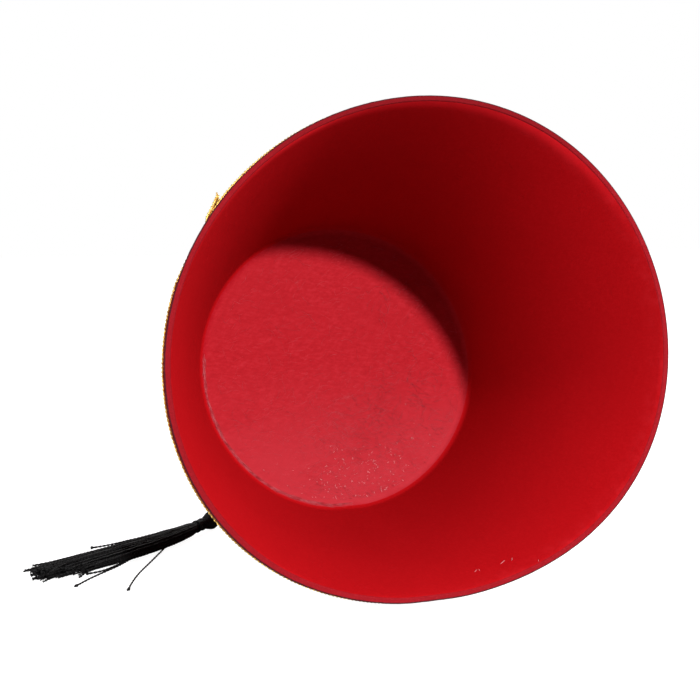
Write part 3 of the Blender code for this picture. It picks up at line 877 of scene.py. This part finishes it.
def make_felt(materials):
    """The whole felt body, finely meshed, with the slight unevenness of pressed felt."""
    rows = felt_rows()
    steps = 420
    angle = math.tau * np.arange(steps) / steps
    radius = np.array([row[0] for row in rows])[:, None]
    rise = np.array([row[1] for row in rows])[:, None]
    regions = [row[2] for row in rows]
    slots = {"outside": 0, "inside": 0, "crown": 1, "cut": 2, "shade": 3}
    # Unevenness across the felt: slow swells everywhere, and a nibbled cut edge.
    swell = np.empty((len(rows), steps))
    for i, (row_radius, row_rise, region) in enumerate(rows):
        reach = row_radius / RIM_RADIUS
        for j in range(steps):
            x, y = math.cos(angle[j]) * reach, math.sin(angle[j]) * reach
            slow = noise.noise(Vector((3.1 * x, 3.1 * y, 20 * row_rise)))
            quick = noise.noise(Vector((30 * x, 30 * y, 320 * row_rise)))
            size = 0.00012 * slow + 0.00003 * quick
            if region in ("cut", "shade"):
                size += 0.00009 * noise.noise(Vector((75 * x, 75 * y, 1.7)))
            swell[i, j] = size
    outward = np.array([-1.0 if region in ("inside", "crown") else 1.0 for region in regions])[:, None]
    flat = np.where((rise > CROWN_REST_RISE) & (radius < CROWN_FLAT_RADIUS), 1.0, 0.0)
    in_radius = radius + outward * swell * (1 - flat)
    in_rise = rise + outward * swell * flat
    ends = np.array([1.0 if region in ("cut", "shade") else 0.0 for region in regions])[:, None]
    in_rise = in_rise + ends * 1.3 * swell
    points = settle(in_radius, angle[None, :] + 0 * in_radius, in_rise)
    vertices = points.reshape(-1, 3)
    index = np.arange(len(rows) * steps).reshape(len(rows), steps)
    here, there = index[:-1], index[1:]
    faces = np.stack([here, there, np.roll(there, -1, 1), np.roll(here, -1, 1)], -1).reshape(-1, 4).tolist()
    face_slots = np.repeat([slots[region] for region in regions[1:]], steps).tolist()
    faces += [index[0].tolist(), index[-1, ::-1].tolist()]
    face_slots += [slots["outside"], slots["crown"]]
    return new_object("felt_shell", vertices, faces, materials, HAT_POSE, face_slots)


def fibre_paths(count, length, region, direction_deg, scatter_deg, lift):
    """Fibres lying on the felt: paths of seven points that bend a little and lift a little."""
    steps = 7
    heading = np.radians(rng.normal(direction_deg, scatter_deg, count))
    reach = rng.uniform(*length, count)
    bend = rng.normal(0, 0.9, count)
    t = np.linspace(-0.5, 0.5, steps)[None, :]
    turn = heading[:, None] + bend[:, None] * t
    dx = np.cumsum(np.cos(turn), axis=1) * reach[:, None] / steps
    dy = np.cumsum(np.sin(turn), axis=1) * reach[:, None] / steps
    height = lift * rng.uniform(0.4, 1.0, (count, 1))
    height = height * (0.35 + np.abs(2 * t) ** 1.5 * rng.uniform(0, 1, (count, 1)))
    if region in ("crown", "crown_low", "glints", "outer_crown"):
        edge = CROWN_RADIUS - CORNER_RADIUS
        place = edge * np.sqrt(rng.uniform(0, 1, count))
        around = rng.uniform(-math.pi, math.pi, count)
        if region == "crown_low":
            around = np.radians(np.clip(rng.normal(-80, 42, count), -175, 20))
            place = edge * np.sqrt(rng.uniform(0.05, 1, count))
        if region == "glints":
            around = np.radians(rng.normal(-80, 17, count))
            place = edge * np.clip(rng.normal(0.86, 0.11, count), 0.4, 1)
        x = (place * np.cos(around))[:, None] + dx
        y = (place * np.sin(around))[:, None] + dy
        radius, angle = np.hypot(x, y), np.arctan2(y, x)
        radius = np.minimum(radius, edge + 0.001)
        rise = (HEIGHT + height) if region == "outer_crown" else (HEIGHT - FELT - height)
        rise = np.broadcast_to(rise, radius.shape)
        return settle(radius, angle, rise)
    low, high = (0.002, CROWN_REST_RISE) if region == "wall" else (BRAID_BACK + 0.001, CROWN_REST_RISE)
    rise = rng.uniform(low, high, count)[:, None] + dy
    rise = np.clip(rise, low, high)
    angle = rng.uniform(0, math.tau, count)[:, None] + dx / round_radius(rise)
    radius = round_radius(rise) - WALL_IN - height if region == "wall" else round_radius(rise) + height
    return settle(radius, angle, rise)


def make_fibres(name, material, groups):
    """Fine fibres in one mesh; groups are (count, length, region, direction, scatter, lift, radius)."""
    parts = []
    for count, length, region, direction, scatter, lift, radius in groups:
        paths = fibre_paths(count, length, region, direction, scatter, lift)
        width = radius * rng.uniform(0.7, 1.3, (count, 1)) * np.array([0.4, 0.9, 1, 1, 1, 0.9, 0.4])[None, :]
        parts.append(tubes(paths, width, 3))
    vertices, faces, _ = join(parts)
    return new_object(name, vertices, faces, [material], HAT_POSE)


def make_crease_fibres(material):
    """Raised fibres along the crease between wall and crown, low on the left. Their colour, lighter and
    pinker than the felt, is a painted highlight along the crease.
    """
    count, steps = 460, 7
    start = np.radians(rng.uniform(172, 268, count))
    length = rng.uniform(0.0015, 0.006, count)
    t = np.linspace(0, 1, steps)[None, :]
    angle = start[:, None] + t * (length / 0.060)[:, None]
    bend = np.radians(rng.normal(66, 4, count))[:, None] + rng.normal(0, 0.10, (count, 1)) * t
    corner_middle = round_radius(CROWN_REST_RISE) - CORNER_RADIUS / math.cos(TAPER)
    inner = CORNER_RADIUS - FELT - rng.uniform(0.00005, 0.00035, (count, 1)) * np.sin(math.pi * t)
    paths = settle(corner_middle + inner * np.cos(bend), angle, CROWN_REST_RISE + inner * np.sin(bend))
    width = np.full((count, steps), 0.00007) * np.array([0.4, 0.9, 1, 1, 1, 0.9, 0.4])[None, :]
    vertices, faces, _ = tubes(paths, width, 3)
    return new_object("crease_fibres", vertices, faces, [material], HAT_POSE)


def make_lint(material):
    """The few specks of lint on the wall near the rim."""
    steps = 7
    t = np.linspace(-0.5, 0.5, steps)
    paths = []
    for row in LINT:
        slant = math.radians(row["slant_deg"])
        angle = math.radians(row["at_deg"]) + row["long"] * t * math.cos(slant) / RIM_RADIUS
        rise = row["rise"] + row["long"] * t * math.sin(slant) + 0.1 * row["long"] * np.sin(4 * t)
        radius = round_radius(rise) - WALL_IN - 0.00012
        paths.append(settle(radius, angle, rise))
    paths = np.stack(paths)
    width = np.full(paths.shape[:2], 0.00009) * np.array([0.5, 0.9, 1.1, 1, 0.8, 0.9, 0.5])[None, :]
    vertices, faces, _ = tubes(paths, width, 4)
    return new_object("lint", vertices, faces, [material], HAT_POSE)


# Braid


def hug(angle):
    """How much closer to the felt the braid lies than usual; most just below the lap."""
    apart = (np.degrees(angle) % 360 - BRAID_HUGS["at_deg"]) / BRAID_HUGS["half_width_deg"]
    return BRAID_HUGS["by"] * np.clip(1 - apart * apart, 0, 1)


def braid_lines():
    """Strands of a flat plait that runs once round the hat and laps over its own start."""
    half = LAP_LENGTH / 2
    length = math.tau * (RIM_RADIUS - BRAID_RISE * math.tan(TAPER)) + LAP_LENGTH
    stations = round(length / BRAID_REPEAT * 18)
    s = np.linspace(0, length, stations)
    around = RIM_RADIUS - BRAID_RISE * math.tan(TAPER)
    angle = math.radians(LAP_AT_DEG) + (half - s) / around
    on_top = np.clip((s - (length - LAP_LENGTH - LAP_RAMP)) / LAP_RAMP, 0, 1)
    to_end = np.clip((s - (length - LAP_LENGTH)) / LAP_LENGTH, 0, 1)
    lift = LAP_THICKNESS * (on_top * on_top * (3 - 2 * on_top) * 0.8 + 0.8 * to_end**2)
    width = (BRAID_WIDTH - 2 * BRAID_STRAND_RADIUS) / 2
    paths = []
    for strand in range(BRAID_STRANDS):
        phase = math.tau * (s / BRAID_REPEAT + strand / BRAID_STRANDS)
        rise = BRAID_RISE + width * np.sin(phase)
        over = 0.00016 * np.sin(phase * (BRAID_STRANDS - 1))
        stand = 0.00085 + over + lift - hug(angle)
        point = on_hat(wall_radius(rise, angle) + stand, angle, rise)
        paths.append(press(point, angle, rise))
    return np.stack(paths), angle, lift


def make_braid(material):
    paths, angle, lift = braid_lines()
    strands = tubes(paths, np.full(paths.shape[:2], BRAID_STRAND_RADIUS), 5)
    edges = []
    for side in (-1, 1):
        rise = BRAID_RISE + side * (BRAID_WIDTH / 2 - 0.00045)
        stand = 0.00075 + lift - hug(angle)
        edges.append(press(on_hat(wall_radius(rise, angle) + stand, angle, rise), angle, rise))
    edges = np.stack(edges)[:, ::2]
    cords = tubes(edges, np.full(edges.shape[:2], 0.00032), 5)
    backing = []
    for offset in np.linspace(-0.38, 0.38, 4):
        rise = BRAID_RISE + offset * BRAID_WIDTH
        stand = 0.00055 + lift - hug(angle)
        backing.append(press(on_hat(wall_radius(rise, angle) + stand, angle, rise), angle, rise))
    backing = np.stack(backing)[:, ::3]
    fill = tubes(backing, np.full(backing.shape[:2], 0.00036), 4)
    vertices, faces, places = join([strands, cords, fill, frayed_end(paths)])
    return new_object("plaited_braid", vertices, faces, [material], HAT_POSE, uvs=places)


def frayed_end(paths):
    """Cut threads that stick out at the upper end of the lap."""
    made, steps = [], 6
    for strand in paths:
        end, before = strand[-1], strand[-4]
        ahead = (end - before) / np.linalg.norm(end - before)
        outward = np.array([end[0], end[1], 0.0]) / math.hypot(end[0], end[1])
        for _ in range(5):
            lean = 0.6 * ahead + outward * rng.uniform(0.1, 0.7) + rng.normal(0, 0.25, 3)
            reach = rng.uniform(0.0005, 0.0012)
            t = np.linspace(0, 1, steps)[:, None]
            made.append(end + t * reach * lean + t * t * rng.normal(0, 0.0003, 3))
    made = np.stack(made)
    return tubes(made, np.full(made.shape[:2], 0.00014), 4)


# Button


def make_button(material):
    """A cloth covered button: a low dome whose cloth is gathered at its edge."""
    rings, steps = 20, 72
    base = HEIGHT + GAP
    turn = math.tau * np.arange(steps) / steps
    share = np.linspace(0, 1, rings)
    bend = share * math.radians(118)
    out = np.sin(np.minimum(bend, math.pi / 2)) * BUTTON_RADIUS
    tucked = BUTTON_RADIUS * (1 - 0.16 * (bend - math.pi / 2) / math.radians(28))
    out = np.where(bend > math.pi / 2, tucked, out)
    rise = base + BUTTON_HEIGHT * np.clip(0.5 + 0.5 * np.cos(share * math.pi), 0, 1) ** 0.75
    gathers = 1 + 0.012 * share[:, None] ** 3 * np.sin(18 * turn[None, :])
    radius = np.maximum(out[:, None], 0.0004) * gathers
    points = np.stack(
        [radius * np.cos(turn), -radius * np.sin(turn), np.broadcast_to(rise[:, None], radius.shape)], -1
    )
    index = np.arange(rings * steps).reshape(rings, steps)
    faces = np.stack([index[:-1], index[1:], np.roll(index[1:], -1, 1), np.roll(index[:-1], -1, 1)], -1)
    faces = faces.reshape(-1, 4).tolist() + [index[0].tolist(), index[-1, ::-1].tolist()]
    return new_object("covered_button", points.reshape(-1, 3), faces, [material], HAT_POSE)


# Floor, light and surroundings


def make_floor():
    """A plain pale floor. It looks nearly white, and throws only a soft part of that back."""
    half = 3.0
    floor = new_object(
        "floor", [(-half, -half, 0), (half, -half, 0), (half, half, 0), (-half, half, 0)], [(0, 1, 2, 3)], []
    )
    made = bpy.data.materials.new("floor")
    made.use_nodes = True
    tree = made.node_tree
    tree.nodes.clear()
    seen = node(tree, "ShaderNodeLightPath")
    output = node(tree, "ShaderNodeOutputMaterial")
    pale = node(tree, "ShaderNodeBsdfDiffuse", {"Color": (0.30, 0.30, 0.30, 1.0)})
    white = node(tree, "ShaderNodeEmission", {"Color": (1.0, 1.0, 1.0, 1.0), "Strength": 0.97})
    both = node(tree, "ShaderNodeAddShader")
    mix = node(tree, "ShaderNodeMixShader")
    tree.links.new(pale.outputs[0], both.inputs[0])
    tree.links.new(white.outputs[0], both.inputs[1])
    tree.links.new(seen.outputs["Is Camera Ray"], mix.inputs[0])
    tree.links.new(pale.outputs[0], mix.inputs[1])
    tree.links.new(both.outputs[0], mix.inputs[2])
    tree.links.new(mix.outputs[0], output.inputs["Surface"])
    floor.data.materials.append(made)


def light_direction(azimuth_deg, elevation_deg):
    """Towards a light: azimuth 0 is -Y, in front of the opening, and 90 is +X."""
    azimuth, elevation = math.radians(azimuth_deg), math.radians(elevation_deg)
    flat = math.cos(elevation)
    return Vector((flat * math.sin(azimuth), -flat * math.cos(azimuth), math.sin(elevation)))


def make_key():
    data = bpy.data.lights.new("key", "SUN")
    data.energy = KEY_STRENGTH
    data.angle = math.radians(KEY_WIDTH_DEG)
    key = bpy.data.objects.new("key", data)
    bpy.context.scene.collection.objects.link(key)
    towards = light_direction(KEY_AZIMUTH_DEG, KEY_ELEVATION_DEG)
    key.rotation_euler = towards.to_track_quat("Z", "Y").to_euler()


def make_softbox(name, azimuth_deg, elevation_deg, distance, size, radiance):
    """A soft rectangular light that looks at the middle of the hat."""
    data = bpy.data.lights.new(name, "AREA")
    data.shape = "RECTANGLE"
    data.size, data.size_y = size
    data.energy = radiance * math.pi * size[0] * size[1]
    box = bpy.data.objects.new(name, data)
    bpy.context.scene.collection.objects.link(box)
    towards = light_direction(azimuth_deg, elevation_deg)
    box.location = Vector((0, 0, HAT_MIDDLE_HEIGHT)) + towards * distance
    box.rotation_euler = towards.to_track_quat("Z", "Y").to_euler()
    box.visible_camera = False


def make_world():
    world = bpy.data.worlds.new("surroundings")
    bpy.context.scene.world = world
    world.use_nodes = True
    tree = world.node_tree
    tree.nodes.clear()
    output = node(tree, "ShaderNodeOutputWorld")
    seen = node(tree, "ShaderNodeLightPath")
    soft = node(tree, "ShaderNodeBackground", {"Color": (1.0, 1.0, 1.0, 1.0), "Strength": 0.03})
    white = node(tree, "ShaderNodeBackground", {"Color": (1.0, 1.0, 1.0, 1.0), "Strength": 1.0})
    mix = node(tree, "ShaderNodeMixShader")
    tree.links.new(seen.outputs["Is Camera Ray"], mix.inputs[0])
    tree.links.new(soft.outputs[0], mix.inputs[1])
    tree.links.new(white.outputs[0], mix.inputs[2])
    tree.links.new(mix.outputs[0], output.inputs["Surface"])


# Everything together


def main():
    bpy.context.scene.view_settings.view_transform = "Standard"
    camera = make_camera()

    black = make_black_thread()
    cord, path = make_cord(black)
    tassel = make_tassel(black, camera)
    binding = make_binding(black)
    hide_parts("tassel_cord")
    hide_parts("tassel")
    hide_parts("tassel_binding")

    wall_felt, crown_felt = make_wall_felt(), make_crown_felt()
    felt = make_felt([wall_felt, crown_felt, make_cut_felt(), make_rim_shade()])
    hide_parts("felt_body")
    crown_fibre = make_fibre_material(
        "crown_fibre", (0.27, 0.010, 0.017), (0.40, 0.045, 0.060), 0.5, 0.2
    )
    wall_fibre = make_fibre_material(
        "wall_fibre", (0.275, 0.0028, 0.0048), (0.330, 0.0060, 0.0095), 0.6, 0.06
    )
    crown_fuzz = make_fibres(
        "crown_fibres",
        crown_fibre,
        (
            (700, (0.002, 0.008), "crown", 8, 38, 0.00014, 0.000035),
            (1300, (0.002, 0.008), "crown_low", 8, 42, 0.00018, 0.000045),
        ),
    )
    wall_fuzz = make_fibres(
        "wall_fibres",
        wall_fibre,
        (
            (900, (0.001, 0.004), "wall", 0, 60, 0.00010, 0.000025),
            (1500, (0.001, 0.004), "outer_wall", 0, 60, 0.00025, 0.000025),
            (600, (0.001, 0.005), "outer_crown", 0, 60, 0.00025, 0.000025),
        ),
    )
    # Pale fibres: real lint on the wall; on the crown's lower part they are painted highlights that stand for
    # glints.
    pale_fibre = make_fibre_material("pale_fibre", (0.50, 0.14, 0.16), (0.75, 0.42, 0.44), 0.5, 0.2)
    glints = make_fibres(
        "glinting_fibres",
        pale_fibre,
        ((150, (0.0004, 0.0013), "glints", 0, 60, 0.0003, 0.00008),),
    )
    lint = make_lint(pale_fibre)
    # Painted highlight: the crease fibres are lighter and pinker than the felt.
    crease_fibre = make_fibre_material(
        "crease_fibre", (0.32, 0.020, 0.028), (0.45, 0.075, 0.090), 0.6, 0.08
    )
    crease = make_crease_fibres(crease_fibre)
    braid = make_braid(make_gold())
    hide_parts("gold_braid")
    button = make_button(make_button_cloth())
    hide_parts("crown_button")

    for piece, material_slot in (
        (felt, "red_felt"),
        (crown_fuzz, "red_felt"),
        (wall_fuzz, "red_felt"),
        (crease, "red_felt"),
        (glints, "red_felt"),
        (lint, "red_felt"),
        (braid, "gold_braid"),
        (button, "black_felt"),
        (cord, "black_thread"),
        (tassel, "black_thread"),
        (binding, "black_thread"),
    ):
        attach(piece, "root")

    make_floor()
    make_key()
    for row in SOFTBOXES:
        make_softbox(**row)
    make_world()


main()
